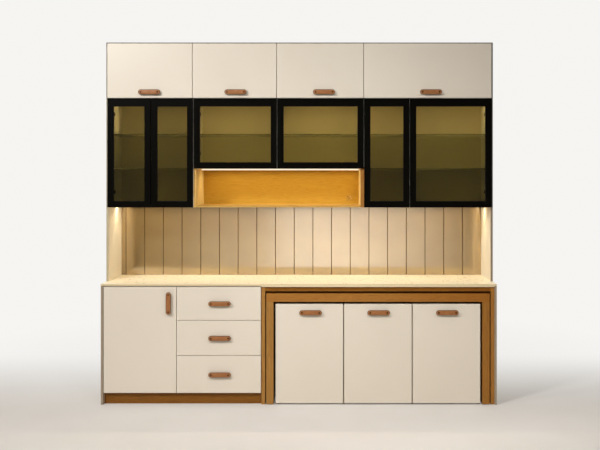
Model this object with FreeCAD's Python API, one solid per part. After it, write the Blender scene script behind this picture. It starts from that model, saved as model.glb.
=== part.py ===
import FreeCAD, Part
import os

# Dining sideboard: glass doors under lift-up flaps, a lit niche, a counter, a door and three drawers,
# and a pull-out table nested over three tall pull-outs.
# Millimetres. X runs to the right, Y to the back (the front faces -Y), Z up from the floor.

# Overall sizes
WIDTH = 2640.0
HEIGHT = 2436.0
BASE_DEPTH = 520.0
UPPER_SETBACK = 117.0
COUNTER_TOP_Z = 805.0
COUNTER_T = 12.0
COUNTER_OVERHANG = 4.0
COUNTER_LIP = 8.0

# Levels of the upper cabinet, as shares of the height
UPPER_BOTTOM_SHARE = 0.5378
NICHE_TOP_SHARE = 0.6466
ROW_SPLIT_SHARE = 0.8432
SHELF_LOW_SHARE = 0.6441
SHELF_HIGH_SHARE = 0.7406

# Boards
BOARD_T = 18.0
BASE_SIDE_T = 15.0
UPPER_SIDE_T = 15.0
BACK_T = 9.0
FRONT_T = 20.0
EDGE_R = 2.5
DOOR_GAP = 3.0
CARCASS_GAP = 2.0
UPPER_REVEAL = 12.0
TOP_REVEAL = 9.0
COUNTER_SHADOW = 7.0
STRETCHER_DEPTH = 80.0
HANG_RAIL_H = 80.0
WALL_HOLE_R = 3.5
WALL_HOLE_SPACING = 1800.0

# Where the uprights and door gaps stand along X, as shares of the width
LEFT_PAIR_SPLIT_SHARE = -0.3833
LEFT_PARTITION_SHARE = -0.2763
MIDDLE_PARTITION_SHARE = -0.0589
RIGHT_PARTITION_SHARE = 0.1657
RIGHT_PAIR_SPLIT_SHARE = 0.2845
DRAWER_SPLIT_SHARE = -0.3091
BAY_LEFT_SHARE = -0.0947

# Glass doors and shelves
GLASS_GAP_SHIFTS = (8.0, 4.0, 2.0)
STILE_W = 42.0
TOP_RAIL_W = 54.0
PANE_T = 5.0
PANE_BITE = 7.0
PANE_CLEAR = 0.3
SHELF_T = 8.0
SHELF_END_CLEAR = 1.0
SHELF_SETBACK = 26.0
SHELF_BACK_CLEAR = 6.0
SUPPORT_W = 10.0
SUPPORT_H = 7.0
SUPPORT_INSET = 50.0

# Niche and splash panel
CHEEK_T = 30.0
NICHE_LINING_T = 9.0
SPLASH_T = 12.0
PLANK_PITCH = 135.7
GROOVE_W = 6.0
GROOVE_DEPTH = 3.0

# Light strips
CHANNEL_W = 18.0
CHANNEL_H = 4.0
DIFFUSER_W = 12.0
DIFFUSER_T = 9.0
UNDER_DIFFUSER_T = 3.0
CHANNEL_END_CLEAR = 4.0
CASE_LIGHT_DEPTH = 60.0
NICHE_LIGHT_DEPTH = 240.0
UNDER_LIGHT_DEPTH = 220.0

# Hinges: the pin stands this far in from the door's edge and from its face
PIVOT_INSET = 5.5
PIN_R = 2.0
PIN_SEAT_CLEAR = 0.02
PIN_RUN_CLEAR = 0.05
PIN_BITE = 10.0
PIN_END_CLEAR = 0.5
EYE_R = 4.0
ARM_H = 14.0
ARM_BAR_W = 5.0
ARM_BODY_L = 30.0
ARM_BEHIND = 3.0
NOTCH_WALL = 1.0
NOTCH_REACH = 28.0
NOTCH_CLEAR = 1.5
HINGE_INSET = 105.0

# Base doors, drawers and toe-kick
KICK_H = 75.0
KICK_RECESS = 31.0
FRONT_OVER_KICK = 3.0
DRAWER_HEIGHTS = (222.0, 231.0)
BASE_SHELF_Z = 430.0
BASE_SHELF_SETBACK = 40.0
BOX_T = 15.0
BOX_BOTTOM_T = 10.0
BOX_L = 450.0
BOX_SIDE_CLEAR = 2.5
BOX_RISE = 24.0
BOX_TOP_DROP = 40.0
RAIL_H = 17.0
RAIL_BITE = 7.5
RAIL_CLEAR = 0.6
RAIL_L = 470.0
RAIL_DROP = 60.0

# Bay with the pull-out table and the three tall pull-outs
LINING_T = 25.0
LINING_TOP_T = 30.0
LINING_SET = 8.0
TABLE_SIDE_GAP = 8.0
TABLE_TOP_GAP = 14.0
TABLE_T = 55.0
LEG_T = 48.0
TABLE_BACK_GAP = 10.0
GLIDE_T = 4.0
GLIDE_W = 30.0
GUIDE_H = 40.0
GUIDE_DROP = 120.0
GUIDE_CLEAR = 0.5
PULLOUT_COUNT = 3
PULLOUT_LEG_GAP = 14.0
PULLOUT_GAP = 7.0
PULLOUT_TOP_GAP = 15.0
PULLOUT_FLOOR_GAP = 10.0
BAY_UPRIGHT_DROP = 11.0
BAY_EDGE_SET = 2.0
BAY_BOARD_Z = 12.0
PULLOUT_BOX_H = 420.0
PULLOUT_RAIL_LOW = 60.0
PULLOUT_RAIL_HIGH = 340.0

# Handles
HANDLE_L = 150.0
HANDLE_W = 34.0
HANDLE_T = 9.0
HANDLE_EASE = 4.0
HANDLE_GAP = 15.0
POST_R = 8.0
RIVET_R = 4.0
RIVET_PROUD = 1.0
RIVET_INSET = 18.0
FLAP_HANDLE_RISE = 40.0
FLAP_HANDLE_SHIFT = (0.0, 9.0, 26.0, 20.0)
DRAWER_HANDLE_SHIFT = 8.0
PULLOUT_HANDLE_SHIFTS = (9.0, 4.0, 3.0)
DOOR_HANDLE_INSET = 49.0
DOOR_HANDLE_DROP = 108.0
PULLOUT_HANDLE_DROP = 55.0

# Places worked out from the sizes above
HANDLE_PROUD = HANDLE_GAP + HANDLE_T + RIVET_PROUD
BACK_Y = (BASE_DEPTH + HANDLE_PROUD) / 2
FRONT_Y = BACK_Y - BASE_DEPTH
UPPER_FRONT_Y = FRONT_Y + UPPER_SETBACK
EDGE_SET = FRONT_T + CARCASS_GAP
BASE_EDGE_Y = FRONT_Y + EDGE_SET
UPPER_EDGE_Y = UPPER_FRONT_Y + EDGE_SET
INNER_BACK_Y = BACK_Y - BACK_T
SIDE_X = WIDTH / 2
LEFT_PAIR_SPLIT_X = WIDTH * LEFT_PAIR_SPLIT_SHARE
LEFT_PARTITION_X = WIDTH * LEFT_PARTITION_SHARE
MIDDLE_PARTITION_X = WIDTH * MIDDLE_PARTITION_SHARE
RIGHT_PARTITION_X = WIDTH * RIGHT_PARTITION_SHARE
RIGHT_PAIR_SPLIT_X = WIDTH * RIGHT_PAIR_SPLIT_SHARE
DRAWER_SPLIT_X = WIDTH * DRAWER_SPLIT_SHARE
BAY_LEFT_X = WIDTH * BAY_LEFT_SHARE
UPPER_BOTTOM_Z = HEIGHT * UPPER_BOTTOM_SHARE
NICHE_TOP_Z = HEIGHT * NICHE_TOP_SHARE
ROW_SPLIT_Z = HEIGHT * ROW_SPLIT_SHARE
SHELF_LOW_Z = HEIGHT * SHELF_LOW_SHARE
SHELF_HIGH_Z = HEIGHT * SHELF_HIGH_SHARE
UPPER_IN_X = SIDE_X - UPPER_SIDE_T
BASE_IN_X = SIDE_X - BASE_SIDE_T
COUNTER_Z = COUNTER_TOP_Z - COUNTER_T
TOP_Z = HEIGHT - BOARD_T
ROW_DECK_Z = ROW_SPLIT_Z - BOARD_T / 2
NICHE_CEILING_Z = NICHE_TOP_Z + CARCASS_GAP
NICHE_DECK_Z = NICHE_CEILING_Z + NICHE_LINING_T
BASE_DECK_Z = KICK_H
HALF = BOARD_T / 2
HALF_GAP = DOOR_GAP / 2
LINING_TOP_Z = COUNTER_Z - COUNTER_LIP
TABLE_TOP_Z = LINING_TOP_Z - LINING_TOP_T - TABLE_TOP_GAP
TABLE_UNDER_Z = TABLE_TOP_Z - TABLE_T
TABLE_LEFT_X = BAY_LEFT_X + LINING_T + TABLE_SIDE_GAP
TABLE_RIGHT_X = BASE_IN_X - LINING_T - TABLE_SIDE_GAP
PULLOUT_LEFT_X = TABLE_LEFT_X + LEG_T + PULLOUT_LEG_GAP
PULLOUT_RIGHT_X = TABLE_RIGHT_X - LEG_T - PULLOUT_LEG_GAP
PULLOUT_W = (PULLOUT_RIGHT_X - PULLOUT_LEFT_X - (PULLOUT_COUNT - 1) * PULLOUT_GAP) / PULLOUT_COUNT
PULLOUT_TOP_Z = TABLE_UNDER_Z - PULLOUT_TOP_GAP
FRONT_TOP_Z = COUNTER_Z - COUNTER_SHADOW
FRONT_BOTTOM_Z = KICK_H + FRONT_OVER_KICK
FLAP_TOP_Z = HEIGHT - TOP_REVEAL
DOOR_LEFT_X = -SIDE_X + UPPER_REVEAL
DOOR_RIGHT_X = SIDE_X - UPPER_REVEAL
PARTITION_FACE = HALF - HALF_GAP
END_FACE = UPPER_SIDE_T - UPPER_REVEAL
TOP_FACE = BOARD_T - TOP_REVEAL
INSET_FACE = -DOOR_GAP


def box(x0, x1, y0, y1, z0, z1):
    """A square-edged board between two corners."""
    return Part.makeBox(x1 - x0, y1 - y0, z1 - z0, FreeCAD.Vector(x0, y0, z0))


def eased(x0, x1, y0, y1, z0, z1):
    """A front panel whose four front edges are rounded."""
    board = box(x0, x1, y0, y1, z0, z1)
    front = [e for e in board.Edges if all(abs(v.Y - y0) < EDGE_R / 2 for v in e.Vertexes)]
    return board.makeFillet(EDGE_R, front)


def rod(radius, length, base, direction):
    """A round bar from a point along a direction."""
    return Part.makeCylinder(radius, length, FreeCAD.Vector(*base), FreeCAD.Vector(*direction))


def prism(points, depth):
    """A flat outline, given as vectors, pushed along a vector."""
    return Part.Face(Part.makePolygon(points + points[:1])).extrude(depth)


def save(node, solids):
    """Writes one named piece, or one group of like pieces."""
    Part.makeCompound(solids).exportStep(os.path.join("parts", node + ".step"))


def hinge_arm(face):
    """Arm fixed on a board: its body lies on that face, its eye holds the pin inside the door's notch."""
    low = -ARM_H / 2
    half_bar = ARM_BAR_W / 2 ** 0.5 / 2
    rear = FRONT_T + CARCASS_GAP + ARM_BEHIND
    reach = rear + ARM_BAR_W
    eye = rod(EYE_R, ARM_H, (PIVOT_INSET, PIVOT_INSET, low), (0, 0, 1))
    corners = [
        (PIVOT_INSET + half_bar, PIVOT_INSET - half_bar),
        (reach + half_bar, reach - half_bar),
        (reach - half_bar, reach + half_bar),
        (PIVOT_INSET - half_bar, PIVOT_INSET + half_bar),
    ]
    bar = prism([FreeCAD.Vector(u, v, low) for u, v in corners], FreeCAD.Vector(0, 0, ARM_H))
    body = box(face, reach + half_bar, rear, rear + ARM_BODY_L, low, -low)
    hole = rod(PIN_R + PIN_SEAT_CLEAR, ARM_H, (PIVOT_INSET, PIVOT_INSET, low), (0, 0, 1))
    return eye.fuse([bar, body]).cut(hole).removeSplitter()


def hinge_pin():
    """Pin through the arm's eye, reaching into the door on both sides of the notch."""
    length = ARM_H + 2 * NOTCH_CLEAR + 2 * PIN_BITE
    return rod(PIN_R, length, (PIVOT_INSET, PIVOT_INSET, -length / 2), (0, 0, 1))


def hinge_cut():
    """What a door loses at a hinge: a notch behind its face, and the pin's running bore."""
    half_h = ARM_H / 2 + NOTCH_CLEAR
    notch = box(-FRONT_T, NOTCH_REACH, NOTCH_WALL, FRONT_T * 2, -half_h, half_h)
    length = 2 * (half_h + PIN_BITE + PIN_END_CLEAR)
    bore = rod(PIN_R + PIN_RUN_CLEAR, length, (PIVOT_INSET, PIVOT_INSET, -length / 2), (0, 0, 1))
    return notch.fuse(bore)


def at_hinge(shape, side, edge, front_y, along):
    """Sets a hinge piece, drawn with the door's edge at X 0 and its face at Y 0, at a door's real edge."""
    placed = shape.copy()
    if side == "right":
        placed = placed.mirror(FreeCAD.Vector(0, 0, 0), FreeCAD.Vector(1, 0, 0))
    if side == "top":
        placed.rotate(FreeCAD.Vector(0, 0, 0), FreeCAD.Vector(0, 1, 0), 90)
        placed.translate(FreeCAD.Vector(along, front_y, edge))
    else:
        placed.translate(FreeCAD.Vector(edge, front_y, along))
    return placed


hinge_arms = []
hinge_pins = []


def hang(panel, side, edge, front_y, face, stations):
    """Hangs a door: cuts it for its hinges, and adds the arms and pins that carry it."""
    for along in stations:
        panel = panel.cut(at_hinge(hinge_cut(), side, edge, front_y, along))
        hinge_arms.append(at_hinge(hinge_arm(face), side, edge, front_y, along))
        hinge_pins.append(at_hinge(hinge_pin(), side, edge, front_y, along))
    return panel


def handle(x, front_y, z, upright):
    """Pill-shaped pull: a crowned bar on two posts, with a rivet over each post."""
    radius = HANDLE_W / 2
    straight = HANDLE_L - HANDLE_W
    start = -straight / 2
    slab = box(start, -start, 0, HANDLE_T, -radius, radius)
    ends = [rod(radius, HANDLE_T, (u, 0, 0), (0, 1, 0)) for u in (start, -start)]
    bar = slab.fuse(ends).removeSplitter()
    rim = [e for e in bar.Edges if all(abs(v.Y) < HANDLE_EASE / 2 for v in e.Vertexes)]
    pieces = [bar.makeFillet(HANDLE_EASE, rim)]
    for u in (-HANDLE_L / 2 + RIVET_INSET, HANDLE_L / 2 - RIVET_INSET):
        pieces.append(rod(POST_R, HANDLE_GAP, (u, HANDLE_T, 0), (0, 1, 0)))
        pieces.append(rod(RIVET_R, RIVET_PROUD, (u, -RIVET_PROUD, 0), (0, 1, 0)))
    for piece in pieces:
        if upright:
            piece.rotate(FreeCAD.Vector(0, 0, 0), FreeCAD.Vector(0, 1, 0), 90)
        piece.translate(FreeCAD.Vector(x, front_y - HANDLE_GAP - HANDLE_T, z))
    return pieces


def glass_door(x0, x1, z0, z1, side, face):
    """Frame of four mitred profiles, grooved for the pane, and the pane itself.

    The top rail is wider than the rest: below its mitres it butts against the stiles.
    """
    y0 = UPPER_FRONT_Y
    y1 = y0 + FRONT_T
    groove_y = y0 + (FRONT_T - PANE_T) / 2
    left = x0 + STILE_W
    right = x1 - STILE_W
    head = z1 - TOP_RAIL_W
    opening = box(left, right, y0, y1, z0 + STILE_W, head)
    inset = STILE_W - PANE_BITE
    pane_top = head + PANE_BITE
    pane = box(x0 + inset, x1 - inset, groove_y, groove_y + PANE_T, z0 + inset, pane_top)
    slot_inset = inset - PANE_CLEAR
    slot = box(
        x0 + slot_inset, x1 - slot_inset,
        groove_y, groove_y + PANE_T,
        z0 + slot_inset, pane_top + PANE_CLEAR,
    )
    ring = eased(x0, x1, y0, y1, z0, z1).cut([opening, slot])
    edge = x0 if side == "left" else x1
    ring = hang(ring, side, edge, y0, face, (z0 + HINGE_INSET, z1 - HINGE_INSET))
    outer = [(x0, z0), (x1, z0), (x1, z1), (x0, z1)]
    inner = [(left, z0 + STILE_W), (right, z0 + STILE_W), (right, z1 - STILE_W), (left, z1 - STILE_W)]
    butts = [[], [], [(left, head), (right, head)], []]
    profiles = []
    for i in range(len(outer)):
        j = (i + 1) % len(outer)
        corners = [outer[i], outer[j], inner[j], *butts[i], inner[i]]
        wedge = prism([FreeCAD.Vector(x, y0, z) for x, z in corners], FreeCAD.Vector(0, FRONT_T, 0))
        profiles.extend(ring.common(wedge).Solids)
    return profiles, [pane]


def runner_box(x0, x1, z0, z1, front_y, rail_zs):
    """Box behind a pull-out front, hung on its rails: two grooved sides, a back and a bottom."""
    y0 = front_y + FRONT_T
    y1 = y0 + BOX_L
    left = x0 + BOX_SIDE_CLEAR
    right = x1 - BOX_SIDE_CLEAR
    sides = [
        box(left, left + BOX_T, y0, y1, z0, z1),
        box(right - BOX_T, right, y0, y1, z0, z1),
    ]
    deep = RAIL_BITE + RAIL_CLEAR
    for rail_z in rail_zs:
        low = rail_z - RAIL_H - RAIL_CLEAR
        sides[0] = sides[0].cut(box(left, left + deep, y0, y1, low, rail_z))
        sides[1] = sides[1].cut(box(right - deep, right, y0, y1, low, rail_z))
    back = box(left + BOX_T, right - BOX_T, y1 - BOX_T, y1, z0 + BOX_BOTTOM_T, z1)
    bottom = box(left + BOX_T, right - BOX_T, y0, y1, z0, z0 + BOX_BOTTOM_T)
    return sides + [back, bottom]


def rail_pair(x0, x1, edge_y, rail_z):
    """Fixed rails on the two faces that a pull-out box runs between; the box hangs on their top faces."""
    out = BOX_SIDE_CLEAR + RAIL_BITE
    return [
        box(x0, x0 + out, edge_y, edge_y + RAIL_L, rail_z - RAIL_H, rail_z),
        box(x1 - out, x1, edge_y, edge_y + RAIL_L, rail_z - RAIL_H, rail_z),
    ]


def light_strip(x0, x1, edge_y, depth, z, diffuser_t):
    """Channel under a board, and the diffuser below it."""
    left = x0 + CHANNEL_END_CLEAR
    right = x1 - CHANNEL_END_CLEAR
    mid_y = edge_y + depth
    channel = box(left, right, mid_y - CHANNEL_W / 2, mid_y + CHANNEL_W / 2, z - CHANNEL_H, z)
    low = z - CHANNEL_H
    diffuser = box(left, right, mid_y - DIFFUSER_W / 2, mid_y + DIFFUSER_W / 2, low - diffuser_t, low)
    return channel, diffuser


os.makedirs("parts", exist_ok=True)

# Uprights of the upper cabinet: two sides that stand on the counter, and the partitions
uprights = [
    box(-SIDE_X, -UPPER_IN_X, UPPER_EDGE_Y, INNER_BACK_Y, COUNTER_TOP_Z, HEIGHT),
    box(UPPER_IN_X, SIDE_X, UPPER_EDGE_Y, INNER_BACK_Y, COUNTER_TOP_Z, HEIGHT),
]
for x in (LEFT_PARTITION_X, MIDDLE_PARTITION_X, RIGHT_PARTITION_X):
    uprights.append(
        box(x - HALF, x + HALF, UPPER_EDGE_Y, INNER_BACK_Y, NICHE_DECK_Z + BOARD_T, ROW_DECK_Z)
    )
    uprights.append(box(x - HALF, x + HALF, UPPER_EDGE_Y, INNER_BACK_Y, ROW_DECK_Z + BOARD_T, TOP_Z))
uprights.append(
    box(
        RIGHT_PAIR_SPLIT_X - HALF, RIGHT_PAIR_SPLIT_X + HALF,
        UPPER_EDGE_Y, INNER_BACK_Y,
        UPPER_BOTTOM_Z + BOARD_T, ROW_DECK_Z,
    )
)
save("upper_uprights", uprights)

# Decks of the upper cabinet: the top, the deck between the rows, the deck over the niche, the two bottoms,
# and the hanging rails that take the wall screws
CHEEK_LEFT_X = LEFT_PARTITION_X - HALF
CHEEK_RIGHT_X = RIGHT_PARTITION_X + HALF
FLAP_STATIONS = (-UPPER_IN_X, LEFT_PARTITION_X, MIDDLE_PARTITION_X, RIGHT_PARTITION_X, UPPER_IN_X)
HANG_RAIL_MID_Z = TOP_Z - HANG_RAIL_H / 2
wall_holes = [
    rod(WALL_HOLE_R, BOARD_T + BACK_T, (x, INNER_BACK_Y - BOARD_T, HANG_RAIL_MID_Z), (0, 1, 0))
    for x in (-WALL_HOLE_SPACING / 2, WALL_HOLE_SPACING / 2)
]
decks = [
    box(-UPPER_IN_X, UPPER_IN_X, UPPER_EDGE_Y, INNER_BACK_Y, TOP_Z, HEIGHT),
    box(-UPPER_IN_X, UPPER_IN_X, UPPER_EDGE_Y, INNER_BACK_Y, ROW_DECK_Z, ROW_DECK_Z + BOARD_T),
    box(CHEEK_LEFT_X, CHEEK_RIGHT_X, UPPER_EDGE_Y, INNER_BACK_Y, NICHE_DECK_Z, NICHE_DECK_Z + BOARD_T),
    box(-UPPER_IN_X, CHEEK_LEFT_X, UPPER_EDGE_Y, INNER_BACK_Y, UPPER_BOTTOM_Z, UPPER_BOTTOM_Z + BOARD_T),
    box(CHEEK_RIGHT_X, UPPER_IN_X, UPPER_EDGE_Y, INNER_BACK_Y, UPPER_BOTTOM_Z, UPPER_BOTTOM_Z + BOARD_T),
]
for i in range(len(FLAP_STATIONS) - 1):
    left = FLAP_STATIONS[i] + (HALF if i else 0)
    right = FLAP_STATIONS[i + 1] - (HALF if i + 2 < len(FLAP_STATIONS) else 0)
    rail = box(left, right, INNER_BACK_Y - BOARD_T, INNER_BACK_Y, TOP_Z - HANG_RAIL_H, TOP_Z)
    decks.append(rail.cut(wall_holes))
save("upper_decks", decks)
upper_back = box(-SIDE_X, SIDE_X, INNER_BACK_Y, BACK_Y, COUNTER_TOP_Z, HEIGHT)
save("upper_back_panel", [upper_back.cut(wall_holes)])

# Splash panel: one board with V-grooves at the plank pitch, counted from the right
SPLASH_Y = INNER_BACK_Y - SPLASH_T
splash = box(-UPPER_IN_X, UPPER_IN_X, SPLASH_Y, INNER_BACK_Y, COUNTER_TOP_Z, UPPER_BOTTOM_Z)
groove_count = int(2 * UPPER_IN_X // PLANK_PITCH)
for i in range(groove_count):
    x = UPPER_IN_X - (i + 1) * PLANK_PITCH
    points = [(x - GROOVE_W / 2, SPLASH_Y), (x + GROOVE_W / 2, SPLASH_Y), (x, SPLASH_Y + GROOVE_DEPTH)]
    corners = [FreeCAD.Vector(px, py, COUNTER_TOP_Z) for px, py in points]
    splash = splash.cut(prism(corners, FreeCAD.Vector(0, 0, UPPER_BOTTOM_Z - COUNTER_TOP_Z)))
save("splash_panel", [splash])

# Niche: two cheeks that carry the deck above, a floor, a ceiling and a back
NICHE_IN_LEFT = CHEEK_LEFT_X + CHEEK_T
NICHE_IN_RIGHT = CHEEK_RIGHT_X - CHEEK_T
NICHE_FLOOR_Z = UPPER_BOTTOM_Z + NICHE_LINING_T
NICHE_BACK_Y = INNER_BACK_Y - NICHE_LINING_T
niche = [
    box(CHEEK_LEFT_X, NICHE_IN_LEFT, UPPER_EDGE_Y, INNER_BACK_Y, UPPER_BOTTOM_Z, NICHE_DECK_Z),
    box(NICHE_IN_RIGHT, CHEEK_RIGHT_X, UPPER_EDGE_Y, INNER_BACK_Y, UPPER_BOTTOM_Z, NICHE_DECK_Z),
    box(NICHE_IN_LEFT, NICHE_IN_RIGHT, UPPER_EDGE_Y, INNER_BACK_Y, UPPER_BOTTOM_Z, NICHE_FLOOR_Z),
    box(NICHE_IN_LEFT, NICHE_IN_RIGHT, UPPER_EDGE_Y, INNER_BACK_Y, NICHE_CEILING_Z, NICHE_DECK_Z),
    box(NICHE_IN_LEFT, NICHE_IN_RIGHT, NICHE_BACK_Y, INNER_BACK_Y, NICHE_FLOOR_Z, NICHE_CEILING_Z),
]
save("niche_boards", niche)

# Glass compartments between uprights, each with the heights of its shelves
CASES = (
    (-UPPER_IN_X, LEFT_PARTITION_X - HALF, (SHELF_HIGH_Z, SHELF_LOW_Z)),
    (LEFT_PARTITION_X + HALF, MIDDLE_PARTITION_X - HALF, (SHELF_HIGH_Z,)),
    (MIDDLE_PARTITION_X + HALF, RIGHT_PARTITION_X - HALF, (SHELF_HIGH_Z,)),
    (RIGHT_PARTITION_X + HALF, RIGHT_PAIR_SPLIT_X - HALF, (SHELF_HIGH_Z, SHELF_LOW_Z)),
    (RIGHT_PAIR_SPLIT_X + HALF, UPPER_IN_X, (SHELF_HIGH_Z, SHELF_LOW_Z)),
)


def shelf_supports(x0, x1, y0, y1, z):
    """Four small brackets on the walls, under a shelf's ends."""
    brackets = []
    for y in (y0 + SUPPORT_INSET, y1 - SUPPORT_INSET - SUPPORT_W):
        brackets.append(box(x0, x0 + SUPPORT_W, y, y + SUPPORT_W, z - SUPPORT_H, z))
        brackets.append(box(x1 - SUPPORT_W, x1, y, y + SUPPORT_W, z - SUPPORT_H, z))
    return brackets


shelves = []
supports = []
channels = []
diffusers = []
shelf_y0 = UPPER_EDGE_Y + SHELF_SETBACK
shelf_y1 = INNER_BACK_Y - SHELF_BACK_CLEAR
for x0, x1, heights in CASES:
    for z in heights:
        shelves.append(
            box(x0 + SHELF_END_CLEAR, x1 - SHELF_END_CLEAR, shelf_y0, shelf_y1, z, z + SHELF_T)
        )
        supports.extend(shelf_supports(x0, x1, shelf_y0, shelf_y1, z))
    channel, diffuser = light_strip(x0, x1, UPPER_EDGE_Y, CASE_LIGHT_DEPTH, ROW_DECK_Z, DIFFUSER_T)
    channels.append(channel)
    diffusers.append(diffuser)
for x0, x1, depth, z, diffuser_t in (
    (NICHE_IN_LEFT, NICHE_IN_RIGHT, NICHE_LIGHT_DEPTH, NICHE_CEILING_Z, DIFFUSER_T),
    (-UPPER_IN_X, UPPER_IN_X, UNDER_LIGHT_DEPTH, UPPER_BOTTOM_Z, UNDER_DIFFUSER_T),
):
    channel, diffuser = light_strip(x0, x1, UPPER_EDGE_Y, depth, z, diffuser_t)
    channels.append(channel)
    diffusers.append(diffuser)
save("glass_shelves", shelves)
save("led_channels", channels)
save("led_diffusers", diffusers)

# Flaps over the top row, each hinged along its top edge
FLAP_EDGES = (DOOR_LEFT_X, LEFT_PARTITION_X, MIDDLE_PARTITION_X, RIGHT_PARTITION_X, DOOR_RIGHT_X)
for i in range(len(FLAP_EDGES) - 1):
    x0 = FLAP_EDGES[i] + (HALF_GAP if i else 0)
    x1 = FLAP_EDGES[i + 1] - (HALF_GAP if i + 2 < len(FLAP_EDGES) else 0)
    z0 = ROW_SPLIT_Z + HALF_GAP
    panel = eased(x0, x1, UPPER_FRONT_Y, UPPER_FRONT_Y + FRONT_T, z0, FLAP_TOP_Z)
    stations = (x0 + HINGE_INSET, x1 - HINGE_INSET)
    panel = hang(panel, "top", FLAP_TOP_Z, UPPER_FRONT_Y, TOP_FACE, stations)
    save(f"flap_{i + 1}_panel", [panel])
    handle_x = (x0 + x1) / 2 + FLAP_HANDLE_SHIFT[i]
    save(f"flap_{i + 1}_handle", handle(handle_x, UPPER_FRONT_Y, z0 + FLAP_HANDLE_RISE, False))

# Glass doors: edges, lower edge, hinged side and where that side's board face lies behind the door's edge
GLASS_TOP_Z = ROW_SPLIT_Z - HALF_GAP
LEFT_SHIFT, MIDDLE_SHIFT, RIGHT_SHIFT = GLASS_GAP_SHIFTS
LEFT_GAP_X = LEFT_PARTITION_X + LEFT_SHIFT
MIDDLE_GAP_X = MIDDLE_PARTITION_X + MIDDLE_SHIFT
RIGHT_GAP_X = RIGHT_PARTITION_X + RIGHT_SHIFT
left_pair_x0 = LEFT_PAIR_SPLIT_X + HALF_GAP
right_pair_x1 = RIGHT_PAIR_SPLIT_X - HALF_GAP
GLASS_DOORS = (
    (DOOR_LEFT_X, LEFT_PAIR_SPLIT_X - HALF_GAP, UPPER_BOTTOM_Z, "left", END_FACE),
    (left_pair_x0, LEFT_GAP_X - HALF_GAP, UPPER_BOTTOM_Z, "right", PARTITION_FACE + LEFT_SHIFT),
    (LEFT_GAP_X + HALF_GAP, MIDDLE_GAP_X - HALF_GAP, NICHE_TOP_Z, "left", PARTITION_FACE - LEFT_SHIFT),
    (MIDDLE_GAP_X + HALF_GAP, RIGHT_GAP_X - HALF_GAP, NICHE_TOP_Z, "right", PARTITION_FACE + RIGHT_SHIFT),
    (RIGHT_GAP_X + HALF_GAP, right_pair_x1, UPPER_BOTTOM_Z, "left", PARTITION_FACE - RIGHT_SHIFT),
    (RIGHT_PAIR_SPLIT_X + HALF_GAP, DOOR_RIGHT_X, UPPER_BOTTOM_Z, "right", END_FACE),
)
for i, (x0, x1, z0, side, face) in enumerate(GLASS_DOORS):
    profiles, pane = glass_door(x0, x1, z0, GLASS_TOP_Z, side, face)
    save(f"glass_door_{i + 1}_frame", profiles)
    save(f"glass_door_{i + 1}_pane", pane)

# Countertop over the whole base: a slab, and a second layer under it over the table bay
counter_y = FRONT_Y - COUNTER_OVERHANG
counter = [
    box(-SIDE_X, SIDE_X, counter_y, BACK_Y, COUNTER_Z, COUNTER_TOP_Z),
    box(BAY_LEFT_X, BASE_IN_X, counter_y, INNER_BACK_Y, LINING_TOP_Z, COUNTER_Z),
]
save("countertop", counter)

# Uprights of the base: the two sides, the partition between door and drawers, and those of the pull-out bay
bay_top_z = PULLOUT_TOP_Z - BAY_UPRIGHT_DROP
bay_lefts = [PULLOUT_LEFT_X + BAY_EDGE_SET]
for i in range(1, PULLOUT_COUNT):
    bay_lefts.append(PULLOUT_LEFT_X + i * (PULLOUT_W + PULLOUT_GAP) - PULLOUT_GAP / 2 - HALF)
bay_lefts.append(PULLOUT_RIGHT_X - BAY_EDGE_SET - BOARD_T)
base_uprights = [
    box(-SIDE_X, -BASE_IN_X, FRONT_Y, INNER_BACK_Y, 0, COUNTER_Z),
    box(BASE_IN_X, SIDE_X, FRONT_Y, INNER_BACK_Y, 0, COUNTER_Z),
    box(
        DRAWER_SPLIT_X - HALF, DRAWER_SPLIT_X + HALF,
        BASE_EDGE_Y, INNER_BACK_Y,
        BASE_DECK_Z + BOARD_T, COUNTER_Z,
    ),
]
for x in bay_lefts:
    base_uprights.append(box(x, x + BOARD_T, BASE_EDGE_Y, INNER_BACK_Y, 0, bay_top_z))
save("base_uprights", base_uprights)

# Lining of the table bay: a post board each side and a board under the counter
lining_y = FRONT_Y + LINING_SET
lining = [
    box(BAY_LEFT_X, BAY_LEFT_X + LINING_T, lining_y, INNER_BACK_Y, 0, LINING_TOP_Z),
    box(BASE_IN_X - LINING_T, BASE_IN_X, lining_y, INNER_BACK_Y, 0, LINING_TOP_Z),
    box(
        BAY_LEFT_X + LINING_T, BASE_IN_X - LINING_T,
        lining_y, INNER_BACK_Y,
        LINING_TOP_Z - LINING_TOP_T, LINING_TOP_Z,
    ),
]
save("bay_lining", lining)

# Decks of the base: its bottom, the shelf behind the door, the stretchers under the counter,
# and the boards that join the bay's uprights
CUPBOARD = (-BASE_IN_X, DRAWER_SPLIT_X - HALF)
DRAWER_BAY = (DRAWER_SPLIT_X + HALF, BAY_LEFT_X)
base_shelf_y0 = BASE_EDGE_Y + BASE_SHELF_SETBACK
base_shelf_y1 = INNER_BACK_Y - SHELF_BACK_CLEAR
base_decks = [
    box(-BASE_IN_X, BAY_LEFT_X, BASE_EDGE_Y, INNER_BACK_Y, BASE_DECK_Z, BASE_DECK_Z + BOARD_T),
    box(
        CUPBOARD[0] + SHELF_END_CLEAR, CUPBOARD[1] - SHELF_END_CLEAR,
        base_shelf_y0, base_shelf_y1,
        BASE_SHELF_Z, BASE_SHELF_Z + BOARD_T,
    ),
]
stretcher_z = COUNTER_Z - BOARD_T
rear_y = INNER_BACK_Y - STRETCHER_DEPTH
for x0, x1 in (CUPBOARD, DRAWER_BAY):
    base_decks.append(box(x0, x1, BASE_EDGE_Y, BASE_EDGE_Y + STRETCHER_DEPTH, stretcher_z, COUNTER_Z))
    base_decks.append(box(x0, x1, rear_y, INNER_BACK_Y, stretcher_z, COUNTER_Z))
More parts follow.
